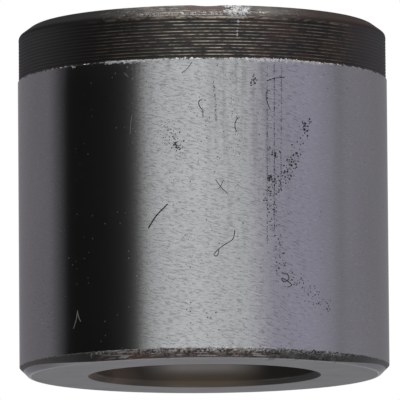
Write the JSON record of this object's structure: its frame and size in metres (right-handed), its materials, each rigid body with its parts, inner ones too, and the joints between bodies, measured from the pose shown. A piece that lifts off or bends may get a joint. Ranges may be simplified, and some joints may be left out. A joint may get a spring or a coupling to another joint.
{
  "type": "spacer sleeve",
  "caption": "Short thick-walled steel spacer sleeve with a plain bore, a ground outside, chamfered ends and a dark turned band left unground at one end.",
  "frame": {"origin": "centre of the plain chamfered end, on the plane that the sleeve stands on", "axes": "+Z along the bore, from the plain end towards the end with the turned band; -Y is the side with the bruised rim"},
  "size_m": [0.02, 0.02, 0.019],
  "materials": {
    "sleeve_steel": "satin ground outside with dark turned oxide on the band, the chamfers and the bore"
  },
  "bodies": {
    "root": {"sleeve": "sleeve_steel"}
  },
  "joints": []
}
